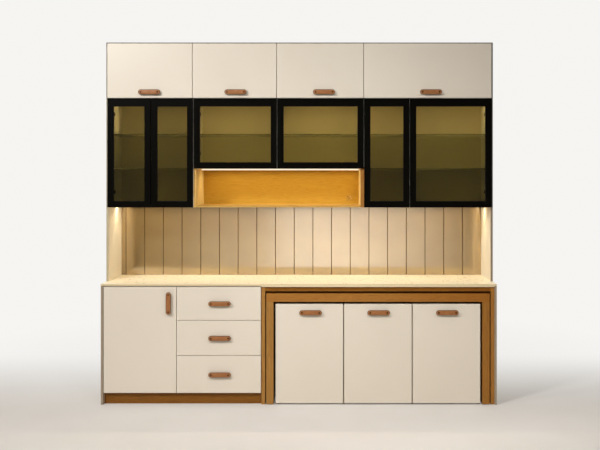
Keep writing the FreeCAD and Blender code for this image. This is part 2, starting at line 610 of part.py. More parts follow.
for i in range(PULLOUT_COUNT):
    x0 = bay_lefts[i] + BOARD_T
    x1 = bay_lefts[i + 1]
    base_decks.append(box(x0, x1, BASE_EDGE_Y, INNER_BACK_Y, BAY_BOARD_Z, BAY_BOARD_Z + BOARD_T))
    base_decks.append(box(x0, x1, rear_y, INNER_BACK_Y, bay_top_z - BOARD_T, bay_top_z))
save("base_decks", base_decks)
supports.extend(shelf_supports(*CUPBOARD, base_shelf_y0, base_shelf_y1, BASE_SHELF_Z))
save("shelf_supports", supports)
save("base_back_panel", [box(-SIDE_X, SIDE_X, INNER_BACK_Y, BACK_Y, 0, COUNTER_Z)])

# Toe-kick at the front, and a like board at the back, under the base's bottom
kick_y = FRONT_Y + KICK_RECESS
kick = [
    box(-BASE_IN_X, BAY_LEFT_X, kick_y, kick_y + BOARD_T, 0, KICK_H),
    box(-BASE_IN_X, BAY_LEFT_X, INNER_BACK_Y - KICK_RECESS - BOARD_T, INNER_BACK_Y - KICK_RECESS, 0, KICK_H),
]
save("toe_kick", kick)

# Base door, hinged on the left side panel
door_x0 = -BASE_IN_X + DOOR_GAP
door_x1 = DRAWER_SPLIT_X - HALF_GAP
door = eased(door_x0, door_x1, FRONT_Y, FRONT_Y + FRONT_T, FRONT_BOTTOM_Z, FRONT_TOP_Z)
door_stations = (FRONT_BOTTOM_Z + HINGE_INSET, FRONT_TOP_Z - HINGE_INSET)
door = hang(door, "left", door_x0, FRONT_Y, INSET_FACE, door_stations)
save("base_door_panel", [door])
save("base_door_handle", handle(door_x1 - DOOR_HANDLE_INSET, FRONT_Y, FRONT_TOP_Z - DOOR_HANDLE_DROP, True))

# Drawers, counted from the top
rails = []
drawer_x0 = DRAWER_SPLIT_X + HALF_GAP
drawer_x1 = BAY_LEFT_X - DOOR_GAP
tops = [FRONT_TOP_Z]
for height in DRAWER_HEIGHTS:
    tops.append(tops[-1] - height - DOOR_GAP)
for i, z1 in enumerate(tops):
    z0 = tops[i + 1] + DOOR_GAP if i + 1 < len(tops) else FRONT_BOTTOM_Z
    front = eased(drawer_x0, drawer_x1, FRONT_Y, FRONT_Y + FRONT_T, z0, z1)
    rail_z = z1 - BOX_TOP_DROP - RAIL_DROP
    save(f"drawer_{i + 1}_front", [front])
    save(
        f"drawer_{i + 1}_box",
        runner_box(*DRAWER_BAY, z0 + BOX_RISE, z1 - BOX_TOP_DROP, FRONT_Y, (rail_z,)),
    )
    save(
        f"drawer_{i + 1}_handle",
        handle((drawer_x0 + drawer_x1) / 2 + DRAWER_HANDLE_SHIFT, FRONT_Y, (z0 + z1) / 2, False),
    )
    rails.extend(rail_pair(*DRAWER_BAY, BASE_EDGE_Y, rail_z))

# Tall pull-outs, counted from the left
pullout_box_z = BAY_BOARD_Z + BOARD_T + BOX_RISE
for i in range(PULLOUT_COUNT):
    x0 = PULLOUT_LEFT_X + i * (PULLOUT_W + PULLOUT_GAP)
    x1 = x0 + PULLOUT_W
    front = eased(x0, x1, FRONT_Y, FRONT_Y + FRONT_T, PULLOUT_FLOOR_GAP, PULLOUT_TOP_Z)
    bay = (bay_lefts[i] + BOARD_T, bay_lefts[i + 1])
    rail_zs = (pullout_box_z + PULLOUT_RAIL_LOW, pullout_box_z + PULLOUT_RAIL_HIGH)
    handle_x = (x0 + x1) / 2 + PULLOUT_HANDLE_SHIFTS[i]
    save(f"pullout_{i + 1}_front", [front])
    save(
        f"pullout_{i + 1}_box",
        runner_box(*bay, pullout_box_z, pullout_box_z + PULLOUT_BOX_H, FRONT_Y, rail_zs),
    )
    save(
        f"pullout_{i + 1}_handle",
        handle(handle_x, FRONT_Y, PULLOUT_TOP_Z - PULLOUT_HANDLE_DROP, False),
    )
    for rail_z in rail_zs:
        rails.extend(rail_pair(*bay, BASE_EDGE_Y, rail_z))
save("runner_rails", rails)

# Pull-out table: a top on two board legs, with floor glides and side guides
table_y1 = INNER_BACK_Y - TABLE_BACK_GAP
legs = [
    (TABLE_LEFT_X, TABLE_LEFT_X + LEG_T),
    (TABLE_RIGHT_X - LEG_T, TABLE_RIGHT_X),
]
table = [box(TABLE_LEFT_X, TABLE_RIGHT_X, FRONT_Y, table_y1, TABLE_UNDER_Z, TABLE_TOP_Z)]
glides = []
guide_z1 = TABLE_TOP_Z - GUIDE_DROP
guide_t = TABLE_SIDE_GAP - GUIDE_CLEAR
for x0, x1 in legs:
    table.append(box(x0, x1, FRONT_Y, table_y1, GLIDE_T, TABLE_UNDER_Z))
    mid = (x0 + x1) / 2
    glides.append(box(mid - GLIDE_W / 2, mid + GLIDE_W / 2, BASE_EDGE_Y, table_y1, 0, GLIDE_T))
guide_z0 = guide_z1 - GUIDE_H
for x0, x1 in ((TABLE_LEFT_X - guide_t, TABLE_LEFT_X), (TABLE_RIGHT_X, TABLE_RIGHT_X + guide_t)):
    glides.append(box(x0, x1, BASE_EDGE_Y, table_y1, guide_z0, guide_z1))
save("table_boards", table)
save("table_glides", glides)

save("hinge_arms", hinge_arms)
save("hinge_pins", hinge_pins)
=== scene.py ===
import math

import bmesh
import bpy
from mathutils import Matrix, Vector


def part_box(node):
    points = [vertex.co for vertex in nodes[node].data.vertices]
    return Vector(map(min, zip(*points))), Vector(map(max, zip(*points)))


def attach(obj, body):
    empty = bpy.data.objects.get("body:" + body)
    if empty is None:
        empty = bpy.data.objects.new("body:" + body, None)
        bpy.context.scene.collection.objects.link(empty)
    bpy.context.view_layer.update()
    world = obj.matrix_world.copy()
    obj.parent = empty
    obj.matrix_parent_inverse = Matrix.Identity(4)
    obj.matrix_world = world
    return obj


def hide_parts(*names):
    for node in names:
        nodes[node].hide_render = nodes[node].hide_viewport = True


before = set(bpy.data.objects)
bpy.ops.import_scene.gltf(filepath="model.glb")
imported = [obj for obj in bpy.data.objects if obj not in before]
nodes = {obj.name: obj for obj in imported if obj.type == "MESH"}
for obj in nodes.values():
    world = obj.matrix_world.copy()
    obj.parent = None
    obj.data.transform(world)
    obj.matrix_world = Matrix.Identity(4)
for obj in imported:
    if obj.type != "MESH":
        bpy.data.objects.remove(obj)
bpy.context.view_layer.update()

# Carcass boards of both cabinets: uprights, decks, backs and the boxes behind the fronts.
# Chipboard faced with cream melamine with a fine pressed texture; doweled, then screwed through the backs.


def paint(red, green, blue):
    """A colour as a paint card gives it, 0 to 255, for a shader socket."""
    steps = [c / 255 for c in (red, green, blue)]
    linear = [c / 12.92 if c <= 0.04045 else ((c + 0.055) / 1.055) ** 2.4 for c in steps]
    return (*linear, 1.0)


def add(tree, kind, inputs=None, **settings):
    """Adds a node with its settings; an input is a value or the socket that feeds it."""
    node = tree.nodes.new(kind)
    for name, value in settings.items():
        setattr(node, name, value)
    for key, value in (inputs or {}).items():
        if isinstance(value, bpy.types.NodeSocket):
            tree.links.new(value, node.inputs[key])
        else:
            node.inputs[key].default_value = value
    return node


def finish(name, sockets):
    """A new material on one Principled shader, with the values that are the same all over set on it."""
    material = bpy.data.materials.new(name)
    material.use_nodes = True
    tree = material.node_tree
    shader = tree.nodes["Principled BSDF"]
    for socket, value in sockets.items():
        shader.inputs[socket].default_value = value
    return material, tree, shader


def place_of(tree):
    """The piece's own coordinates in metres."""
    return add(tree, "ShaderNodeTexCoord").outputs["Object"]


def axes(tree, vector):
    """The X, Y and Z of a vector."""
    return add(tree, "ShaderNodeSeparateXYZ", {"Vector": vector}).outputs


def reckon(tree, operation, *values):
    """One step of arithmetic on values or sockets."""
    return add(tree, "ShaderNodeMath", dict(enumerate(values)), operation=operation).outputs[0]


def ramp(tree, value, start, end, low=0.0, high=1.0, **settings):
    """A value carried over from one range to another, held at both ends."""
    node = add(tree, "ShaderNodeMapRange", {"Value": value, 1: start, 2: end, 3: low, 4: high}, **settings)
    return node.outputs["Result"]


def mottle(tree, place, scale, low=0.0, high=1.0, detail=3.0, window=(0.3, 0.7)):
    """A cloudy value between low and high."""
    noise = add(tree, "ShaderNodeTexNoise", {"Vector": place, "Scale": scale, "Detail": detail})
    return ramp(tree, noise.outputs["Fac"], *window, low, high)


def tone(tree, share, pale, deep):
    """A colour between two, by a share from 0 to 1."""
    mix = add(tree, "ShaderNodeMix", {0: share, 6: pale, 7: deep}, data_type="RGBA")
    return mix.outputs[2]


def relief(tree, shader, height, depth, strength=1.0):
    """Bump of a given depth in metres on a shader."""
    bump = add(tree, "ShaderNodeBump", {"Height": height, "Distance": depth, "Strength": strength})
    tree.links.new(bump.outputs["Normal"], shader.inputs["Normal"])


def dress(material, *names):
    """Gives CAD nodes a material."""
    for name in names:
        slots = nodes[name].data.materials
        slots.clear()
        slots.append(material)


GLOSS_FINER = 9


def smooth_board(name, pale, deep, clouds, gloss, peel, peel_depth, specular=0.5, band=None):
    """A painted or faced board: faint clouds in the colour, uneven gloss, and a fine peel.

    A band paints light and shade on the edges in front of a Y in metres; its steps recolour them past a place
    on an axis, where they lie above a Z if the step gives one.
    """
    material, tree, shader = finish(name, {"Specular IOR Level": specular})
    place = place_of(tree)
    colour = tone(tree, mottle(tree, place, clouds), pale, deep)
    if band:
        edge_y, edge_shade, steps = band
        spot = axes(tree, place)
        for axis, start, beyond, *above in steps:
            past = reckon(tree, "GREATER_THAN", spot[axis], start)
            if above:
                over = reckon(tree, "GREATER_THAN", spot["Z"], above[0])
                past = reckon(tree, "MULTIPLY", past, over)
            edge_shade = tone(tree, past, edge_shade, beyond)
        colour = tone(tree, reckon(tree, "LESS_THAN", spot["Y"], edge_y), colour, edge_shade)
    tree.links.new(colour, shader.inputs["Base Color"])
    tree.links.new(mottle(tree, place, clouds * GLOSS_FINER, *gloss), shader.inputs["Roughness"])
    relief(tree, shader, mottle(tree, place, peel, detail=1.0), peel_depth)
    return material


UPPER_EDGE_Y = -0.108
BASE_EDGE_Y = -0.225
END_X = 1.2
CASE_FOOT_Z = 1.31
FLAP_FOOT_Z = 2.05
TOP_BOARD_Z = 2.41
# Painted light and shade on the upper carcass's front edges: a darker rim at the left end, pale edges on the
# inner partitions, darker edges along the flaps, near-black edges on the right end and the top board.
UPPER_EDGE_SHADING = (UPPER_EDGE_Y, paint(182, 168, 138), (
    ("Z", CASE_FOOT_Z, paint(165, 155, 131)),
    ("X", -END_X, paint(250, 246, 238)),
    ("Z", FLAP_FOOT_Z, paint(118, 110, 92)),
    ("X", END_X, paint(138, 122, 102)),
    ("X", END_X, paint(58, 52, 43), CASE_FOOT_Z),
    ("Z", TOP_BOARD_Z, paint(60, 52, 42)),
))
# Painted shade: the base's front edges are darker than its faces.
BASE_EDGE_SHADE = (BASE_EDGE_Y, paint(150, 134, 114), ())
CREAM = (paint(229, 220, 203), paint(224, 214, 196))
LINEN = (paint(198, 185, 156), paint(191, 178, 148))
# The pull-out boxes are dark so that the gaps round the pull-out fronts read black: painted shade on real
# boards.
GRAPHITE_SHADE = (paint(46, 42, 37), paint(40, 37, 33))
for name, tones, band, boards in (
    ("cream_melamine_upper", CREAM, UPPER_EDGE_SHADING, ("upper_uprights", "upper_decks")),
    ("linen_melamine", LINEN, None, ("upper_back_panel",)),
    ("cream_melamine_base", CREAM, BASE_EDGE_SHADE, (
        "base_uprights", "base_decks", "base_back_panel", *[f"drawer_{i}_box" for i in (1, 2, 3)],
    )),
    ("graphite_shade_melamine", GRAPHITE_SHADE, None, [f"pullout_{i}_box" for i in (1, 2, 3)]),
):
    melamine = smooth_board(
        name, *tones, clouds=2.0, gloss=(0.46, 0.56), peel=1400.0, peel_depth=0.00012,
        specular=0.4, band=band,
    )
    dress(melamine, *boards)

# Screws that hold the thin backs to the carcass, in a row round each back and down its middle.
# Zinc-plated steel, pan heads with a cross drive, driven from behind.
SCREW_R = 0.0042
SCREW_TOP_R = SCREW_R * 0.7
SCREW_PROUD = 0.0012
SCREW_SIDES = 16
CROSS_ARM = (SCREW_R * 1.1, SCREW_R * 0.28, SCREW_PROUD * 0.3)
SCREW_PITCH = 0.29
SCREW_INSET = 0.009
DULL_SHARE = 0.86
GLOSS_SWING = 0.06


def steel_finish(name, colour, roughness):
    """Bare or plated metal with faint clouds in its tone and gloss."""
    material, tree, shader = finish(name, {"Metallic": 1.0})
    place = place_of(tree)
    dull = (*[c * DULL_SHARE for c in colour[:3]], 1.0)
    tree.links.new(tone(tree, mottle(tree, place, 60.0), colour, dull), shader.inputs["Base Color"])
    gloss = mottle(tree, place, 420.0, roughness - GLOSS_SWING, roughness + GLOSS_SWING)
    tree.links.new(gloss, shader.inputs["Roughness"])
    return material


zinc = steel_finish("zinc", paint(198, 199, 196), 0.34)


def new_tree(name, inputs):
    """An empty Geometry Nodes tree with a geometry input and output and named sizes."""
    tree = bpy.data.node_groups.new(name, "GeometryNodeTree")
    tree.interface.new_socket("Geometry", in_out="OUTPUT", socket_type="NodeSocketGeometry")
    tree.interface.new_socket("Geometry", in_out="INPUT", socket_type="NodeSocketGeometry")
    for label, kind in inputs:
        tree.interface.new_socket(label, in_out="INPUT", socket_type=kind)
    return tree, add(tree, "NodeGroupInput"), add(tree, "NodeGroupOutput")


def joined(tree, *shapes):
    """Several geometries as one."""
    join = add(tree, "GeometryNodeJoinGeometry")
    for shape in shapes:
        tree.links.new(shape, join.inputs[0])
    return join.outputs[0]


def close_tree(tree, geometry, material, output):
    """Ends a tree in plain geometry with its material."""
    real = add(tree, "GeometryNodeRealizeInstances", {"Geometry": geometry})
    dressed = add(tree, "GeometryNodeSetMaterial", {"Geometry": real.outputs[0], "Material": material})
    tree.links.new(dressed.outputs[0], output.inputs[0])


def bake_tree(name, points, edges, tree, sizes):
    """Runs a tree on a small mesh of points and edges, and returns the plain mesh it makes."""
    seed = bpy.data.meshes.new(name + "_path")
    seed.from_pydata(points, edges, [])
    carrier = bpy.data.objects.new(name + "_path", seed)
    bpy.context.scene.collection.objects.link(carrier)
    modifier = carrier.modifiers.new(name, "NODES")
    modifier.node_group = tree
    for item in tree.interface.items_tree:
        if item.in_out == "INPUT" and item.name in sizes:
            modifier[item.identifier] = sizes[item.name]
    graph = bpy.context.evaluated_depsgraph_get()
    mesh = bpy.data.meshes.new_from_object(carrier.evaluated_get(graph))
    carrier.modifiers.remove(modifier)
    bpy.data.objects.remove(carrier)
    mesh.name = name
    return mesh


def set_out(name, mesh, body):
    """Puts a finished mesh in the scene as one piece that moves with a body."""
    piece = bpy.data.objects.new(name, mesh)
    bpy.context.scene.collection.objects.link(piece)
    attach(piece, body)
    return piece


def screw_tree():
    """A pan head with a cross in it at every point, facing the back."""
    sizes = [("Radius", "NodeSocketFloat"), ("Height", "NodeSocketFloat")]
    tree, given, output = new_tree("back_screws", sizes)
    head = add(
        tree, "GeometryNodeMeshCone",
        {"Vertices": SCREW_SIDES, "Radius Top": SCREW_TOP_R, "Radius Bottom": given.outputs["Radius"],
         "Depth": given.outputs["Height"]},
    )
    arm = add(tree, "GeometryNodeMeshCube", {"Size": CROSS_ARM}).outputs[0]
    turned = add(tree, "GeometryNodeTransform", {"Geometry": arm, "Rotation": (0, 0, math.pi / 2)})
    lifted = add(
        tree, "GeometryNodeTransform",
        {"Geometry": joined(tree, arm, turned.outputs[0]), "Translation": (0, 0, SCREW_PROUD)},
    )
    screw = joined(tree, head.outputs["Mesh"], lifted.outputs[0])
    rows = add(
        tree, "GeometryNodeInstanceOnPoints",
        {"Points": given.outputs[0], "Instance": screw, "Rotation": (-math.pi / 2, 0, 0)},
    )
    close_tree(tree, rows.outputs[0], zinc, output)
    return tree


back_screws = screw_tree()
for panel in ("upper_back_panel", "base_back_panel"):
    low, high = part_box(panel)
    across = round((high.x - low.x) / SCREW_PITCH)
    up = round((high.z - low.z) / SCREW_PITCH)
    spots = []
    for i in range(across + 1):
        x = low.x + SCREW_INSET + (high.x - low.x - 2 * SCREW_INSET) * i / across
        spots += [(x, high.y, low.z + SCREW_INSET), (x, high.y, high.z - SCREW_INSET)]
    for i in range(1, up):
        z = low.z + (high.z - low.z) * i / up
        spots += [(x, high.y, z) for x in (low.x + SCREW_INSET, 0.0, high.x - SCREW_INSET)]
    heads = bake_tree(panel + "_screws", spots, [], back_screws, {"Radius": SCREW_R, "Height": SCREW_PROUD})
    set_out(panel + "_screws", heads, "cabinet")

# Splash panel behind the counter: one board with V-grooves that read as planks.
# Champagne metallic lacquer under a clear coat, so it mirrors the counter along its foot; glued to the back.
GROOVE_LIP = 0.0002
GROOVE_SHADE_DEPTH = 0.0012
champagne, tree, shader = finish(
    "champagne_lacquer",
    {"Metallic": 0.5, "Coat Roughness": 0.06, "Coat IOR": 2.2},
)
place = place_of(tree)
plank = tone(tree, mottle(tree, place, 5.0), paint(174, 147, 98), paint(168, 140, 92))
splash_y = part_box("splash_panel")[0].y
# Painted shade in the grooves: their floors turn dark brown and lose the coat.
groove_shade = ramp(tree, axes(tree, place)["Y"], splash_y + GROOVE_LIP, splash_y + GROOVE_SHADE_DEPTH)
tree.links.new(tone(tree, groove_shade, plank, paint(98, 68, 32)), shader.inputs["Base Color"])
tree.links.new(reckon(tree, "SUBTRACT", 1.0, groove_shade), shader.inputs["Coat Weight"])
tree.links.new(mottle(tree, place, 2600.0, 0.09, 0.13), shader.inputs["Roughness"])
relief(tree, shader, mottle(tree, place, 1800.0, detail=1.0), 0.00004)
dress(champagne, "splash_panel")

# Niche between the glass cases: two cheeks, a floor, a ceiling and a back.
# Honey oak veneer on board; the cheeks stand with upright grain, the other boards run level between them,
# doweled to the cheeks.
GRAIN_SWAY = (0.0, 0.09, 0.09)
FIGURE_STRETCH = (0.55, 9.0, 9.0)
PORE_STRETCH = (9.0, 420.0, 420.0)
RING_TURNS = 95.0


def oak(name, pale, deep, pore, level_zone, figure=0.5, level_darkening=None, rear=None, front=None, drift=None):
    """Oak veneer: wavy figure, rings and open pores.

    The grain runs along X inside the level zone, upright outside it. The level boards and what lies behind a
    rear Y can each be darkened, the left and right boards' front edges carry painted shade, and the tone can
    drift from one X to another.
    """
    middle_x, half_x, above_z = level_zone
    material, tree, shader = finish(name, {"Specular IOR Level": 0.15})
    place = place_of(tree)
    spot = axes(tree, place)
    shifted = reckon(tree, "SUBTRACT", spot["X"], middle_x)
    between = reckon(tree, "LESS_THAN", reckon(tree, "ABSOLUTE", shifted), half_x)
    level = reckon(tree, "MULTIPLY", between, reckon(tree, "GREATER_THAN", spot["Z"], above_z))
    upright = add(tree, "ShaderNodeCombineXYZ", {"X": spot["Z"], "Y": spot["Y"], "Z": spot["X"]})
    along = add(
        tree, "ShaderNodeMix", {0: level, 4: upright.outputs[0], 5: place}, data_type="VECTOR",
    ).outputs[1]
    sway = add(tree, "ShaderNodeTexNoise", {"Vector": along, "Scale": 1.7, "Detail": 1.0})
    bent = add(
        tree, "ShaderNodeVectorMath",
        {0: sway.outputs["Color"], 1: GRAIN_SWAY, 2: along}, operation="MULTIPLY_ADD",
    ).outputs[0]
    drawn = add(tree, "ShaderNodeMapping", {"Vector": bent, "Scale": FIGURE_STRETCH})
    growth = add(tree, "ShaderNodeTexNoise", {"Vector": drawn.outputs[0], "Scale": 1.6, "Detail": 3.0})
    wave = reckon(tree, "SINE", reckon(tree, "MULTIPLY", growth.outputs["Fac"], RING_TURNS))
    base = tone(tree, ramp(tree, wave, -1.0, 1.0, 0.0, figure), pale, deep)
    streaks = add(tree, "ShaderNodeMapping", {"Vector": bent, "Scale": PORE_STRETCH})
    pores = mottle(tree, streaks.outputs[0], 1.0, 0.0, 0.75, detail=2.0, window=(0.54, 0.74))
    colour = tone(tree, pores, base, pore)
    darkenings = []
    if drift:
        from_x, to_x, darkening = drift
        darkenings.append((ramp(tree, spot["X"], from_x, to_x), darkening))
    if level_darkening:
        darkenings.append((level, level_darkening))
    if rear:
        rear_y, darkening = rear
        darkenings.append((reckon(tree, "GREATER_THAN", spot["Y"], rear_y), darkening))
    if front:
        front_y, left_shade, right_shade = front
        lip = reckon(tree, "LESS_THAN", spot["Y"], front_y)
        for side, limit, darkening in (("LESS_THAN", -half_x, left_shade), ("GREATER_THAN", half_x, right_shade)):
            standing = reckon(tree, "MULTIPLY", lip, reckon(tree, side, shifted, limit))
            darkenings.append((standing, darkening))
    for where, darkening in darkenings:
        colour = add(
            tree, "ShaderNodeMix", {0: where, 6: colour, 7: darkening}, data_type="RGBA", blend_type="MULTIPLY",
        ).outputs[2]
    tree.links.new(colour, shader.inputs["Base Color"])
    tree.links.new(ramp(tree, pores, 0.0, 1.0, 0.42, 0.62), shader.inputs["Roughness"])
    relief(tree, shader, reckon(tree, "SUBTRACT", 1.0, pores), 0.00025, 0.6)
    return material


CHEEK_T = 0.03
NICHE_BACK_Y = 0.253
FRONT_LIP = 0.001
BELOW_ALL = -1.0
low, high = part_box("niche_boards")
niche_zone = ((low.x + high.x) / 2, (high.x - low.x) / 2 - CHEEK_T, BELOW_ALL)
# Painted shade on the cheeks' front edges: a little on the left one, a near-black shadow line on the right
# one. The boards between the cheeks are darker than the cheeks, and the back more yellow.
honey_oak = oak(
    "honey_oak", paint(244, 223, 154), paint(236, 211, 138), paint(205, 167, 95), niche_zone, figure=0.6,
    level_darkening=(0.59, 0.445, 0.27, 1.0),
    rear=(NICHE_BACK_Y, (0.98, 0.95, 0.47, 1.0)),
    front=(low.y + FRONT_LIP, (1.0, 0.78, 0.58, 1.0), (0.42, 0.23, 0.12, 1.0)),
)
dress(honey_oak, "niche_boards")

# Power outlet at the niche's lower right: a flush plate with a pair of small keys, and two dark discs as
# painted shade for its pin holes.
# Moulded plastic in the veneer's colour, clipped into a hole in the back board.
OUTLET_X = 0.349
OUTLET_Z = 1.365
OUTLET_SIZE = (0.046, 0.004, 0.04)
OUTLET_ROUND = 0.0012
OUTLET_SUNK = 0.002
PIN_HOLE_R = 0.0028
PIN_HOLE_T = 0.0006
PIN_HOLE_SPOTS = ((-0.013, 0.006), (-0.004, -0.005))
KEY_T = 0.002
KEY_SPOTS = ((0.007, 0.009), (0.013, -0.004))
NICHE_BACK_T = 0.009
UPPER_BACK_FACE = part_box("upper_back_panel")[0].y
ROUND_STEPS = 3
DISC_SIDES = 20
MERGE_DISTANCE = 1e-6
SHARP_ANGLE = math.radians(40)


def rounded_box(size, middle, edge):
    """A box with rounded edges, as a bmesh."""
    shape = bmesh.new()
    bmesh.ops.create_cube(shape, size=1.0)
    stretch = Matrix.Translation(middle) @ Matrix.Diagonal((*size, 1.0))
    bmesh.ops.transform(shape, matrix=stretch, verts=shape.verts)
    bmesh.ops.bevel(
        shape, geom=list(shape.edges), offset=edge, segments=ROUND_STEPS, profile=0.5,
        affect="EDGES", clamp_overlap=True,
    )
    return shape


def disc(radius, depth, middle, sides=DISC_SIDES):
    """A short round bar that faces the front, as a bmesh."""
    shape = bmesh.new()
    turn = Matrix.Translation(middle) @ Matrix.Rotation(math.pi / 2, 4, "X")
    bmesh.ops.create_cone(
        shape, cap_ends=True, segments=sides, radius1=radius, radius2=radius, depth=depth, matrix=turn,
    )
    return shape


def gather(name, groups):
    """Joins bmeshes into one mesh; each group comes with its material."""
    mesh = bpy.data.meshes.new(name)
    whole = bmesh.new()
    for index, (material, shapes) in enumerate(groups):
        mesh.materials.append(material)
        for shape in shapes:
            for face in shape.faces:
                face.material_index = index
                face.smooth = True
            part = bpy.data.meshes.new("part")
            shape.to_mesh(part)
            shape.free()
            whole.from_mesh(part)
            bpy.data.meshes.remove(part)
    bmesh.ops.remove_doubles(whole, verts=list(whole.verts), dist=MERGE_DISTANCE)
    whole.to_mesh(mesh)
    whole.free()
    mesh.set_sharp_from_angle(angle=SHARP_ANGLE)
    return mesh


outlet_plastic = smooth_board(
    "outlet_plastic", paint(181, 143, 52), paint(176, 138, 49),
    clouds=30.0, gloss=(0.4, 0.5), peel=2200.0, peel_depth=0.00005,
)
# Painted shade: the pin holes are dark discs on the plate.
pin_hole_shade = smooth_board(
    "pin_hole_shade", paint(58, 34, 14), paint(44, 26, 10),
    clouds=60.0, gloss=(0.5, 0.6), peel=2200.0, peel_depth=0.00005,
)
outlet_key = smooth_board(
    "outlet_key", paint(236, 200, 140), paint(230, 190, 128),
    clouds=60.0, gloss=(0.3, 0.4), peel=2200.0, peel_depth=0.00005,
)
plate_y = UPPER_BACK_FACE - NICHE_BACK_T - OUTLET_SIZE[1] / 2 + OUTLET_SUNK
face_y = plate_y - OUTLET_SIZE[1] / 2
holes, keys = [
    [disc(PIN_HOLE_R, depth, Vector((OUTLET_X + u, face_y, OUTLET_Z + v))) for u, v in marks]
    for depth, marks in ((PIN_HOLE_T, PIN_HOLE_SPOTS), (KEY_T, KEY_SPOTS))
]
plate = rounded_box(OUTLET_SIZE, Vector((OUTLET_X, plate_y, OUTLET_Z)), OUTLET_ROUND)
outlet = gather("niche_outlet", [(outlet_plastic, [plate]), (pin_hole_shade, holes), (outlet_key, keys)])
set_out("niche_outlet", outlet, "cabinet")

# Glass shelves in the cases, on small brackets plugged into the case walls.
# Clear float glass 8 mm thick with polished edges; the brackets are nickel-plated.


def glass(name, tint, lamp_tint, roughness, ior, low=None):
    """Float glass with the faint waviness of the sheet. Lamps shine through it, tinted.

    Panes that lie below a Z in metres can have a lamp tint of their own.
    """
    material, tree, shader = finish(
        name,
        {"Base Color": tint, "Transmission Weight": 1.0, "Roughness": roughness, "IOR": ior},
    )
    place = place_of(tree)
    relief(tree, shader, mottle(tree, place, 7.0, detail=0.0), 0.0002, 0.25)
    if low:
        below_z, low_tint = low
        below = reckon(tree, "LESS_THAN", axes(tree, place)["Z"], below_z)
        lamp_tint = tone(tree, below, lamp_tint, low_tint)
    through = add(tree, "ShaderNodeBsdfTransparent", {"Color": lamp_tint})
    ray = add(tree, "ShaderNodeLightPath")
    both = add(
        tree, "ShaderNodeMixShader",
        {0: ray.outputs["Is Shadow Ray"], 1: shader.outputs["BSDF"], 2: through.outputs["BSDF"]},
    )
    tree.links.new(both.outputs[0], tree.nodes["Material Output"].inputs["Surface"])
    return material


LOW_SHELVES = (1.7, paint(108, 110, 104))
clear_glass = glass(
    "clear_glass", paint(226, 232, 220), paint(220, 222, 211), roughness=0.01, ior=1.45, low=LOW_SHELVES,
)
dress(clear_glass, "glass_shelves")
dress(zinc, "shelf_supports")

# Light strips: an extruded channel under a board, with an opal cover that glows along its whole length.
# Aluminium and frosted plastic, screwed up under the boards: one in each glass case, one in the niche and
# one under the cabinet.
OPAL_GLOW = (1.0, 0.92, 0.7, 1.0)
OPAL_STRENGTH = (0.81, 0.9)
channel_metal = steel_finish("channel_metal", paint(205, 205, 202), 0.38)
dress(channel_metal, "led_channels")
opal, tree, shader = finish(
    "opal_cover",
    {"Base Color": paint(245, 240, 228), "Roughness": 0.5, "Emission Color": OPAL_GLOW},
)
tree.links.new(mottle(tree, place_of(tree), 160.0, *OPAL_STRENGTH), shader.inputs["Emission Strength"])
dress(opal, "led_diffusers")
STRIP_W = 0.012


def strip_lamp(name, x0, x1, y, z, watts, colour, tilt=0.0, turn=0.0):
    """The light that a strip gives: a long thin lamp just under its cover, tilted back or turned to a wall."""
    data = bpy.data.lights.new(name, "AREA")
    data.shape = "RECTANGLE"
    data.size = x1 - x0
    data.size_y = STRIP_W
    data.energy = watts
    data.color = colour
    lamp = bpy.data.objects.new(name, data)
    lamp.location = ((x0 + x1) / 2, y, z)
    lamp.rotation_euler = (tilt, turn, 0.0)
    lamp.visible_camera = False
    lamp.visible_glossy = False
    lamp.visible_transmission = False
    bpy.context.scene.collection.objects.link(lamp)


WARM_GLOW = (1.0, 0.86, 0.6)
CASE_WALLS = ((-1.305, -0.738), (-0.72, -0.165), (-0.147, 0.428), (0.446, 0.742), (0.76, 1.305))
CASE_STRIP_Y = -0.0485
CASE_STRIP_Z = 2.03
CASE_STRIP_GAP = 0.01
CASE_STRIP_TILT = 0.2
CASE_WATTS_PER_M = (2.0, 4.0, 4.5, 4.8, 3.9)
for i, (x0, x1) in enumerate(CASE_WALLS):
    strip_lamp(
        f"case_strip_{i + 1}", x0 + CASE_STRIP_GAP, x1 - CASE_STRIP_GAP, CASE_STRIP_Y, CASE_STRIP_Z,
        CASE_WATTS_PER_M[i] * (x1 - x0), WARM_GLOW, tilt=CASE_STRIP_TILT,
    )
END_GLOW_Y = 0.12
END_GLOW_Z = 1.92
END_GLOW_L = 0.2
END_GLOW_GAP = 0.05
END_GLOWS = (
    (1, CASE_WALLS[0][0], 1, 0.08), (2, CASE_WALLS[1][0], 1, 0.06), (5, CASE_WALLS[4][1], -1, 0.09),
)
for case, wall, side, watts in END_GLOWS:
    x = wall + side * END_GLOW_GAP
    strip_lamp(
        f"case_strip_end_{case}", x - END_GLOW_L / 2, x + END_GLOW_L / 2, END_GLOW_Y, END_GLOW_Z,
        watts, WARM_GLOW, turn=side * math.pi / 2,
    )
NICHE_STRIP_X = (-0.65, 0.41)
NICHE_STRIP_Y = 0.1315
NICHE_STRIP_Z = 1.562
NICHE_WATTS = 1.75
NICHE_GLOW = (1.0, 0.84, 0.55)
strip_lamp("niche_strip", *NICHE_STRIP_X, NICHE_STRIP_Y, NICHE_STRIP_Z, NICHE_WATTS, NICHE_GLOW)
UNDER_STRIP_X = (-1.30, 1.29)
UNDER_STRIP_Y = 0.1115
UNDER_STRIP_Z = 1.301
UNDER_WATTS = 6.35
strip_lamp("under_strip", *UNDER_STRIP_X, UNDER_STRIP_Y, UNDER_STRIP_Z, UNDER_WATTS, WARM_GLOW)

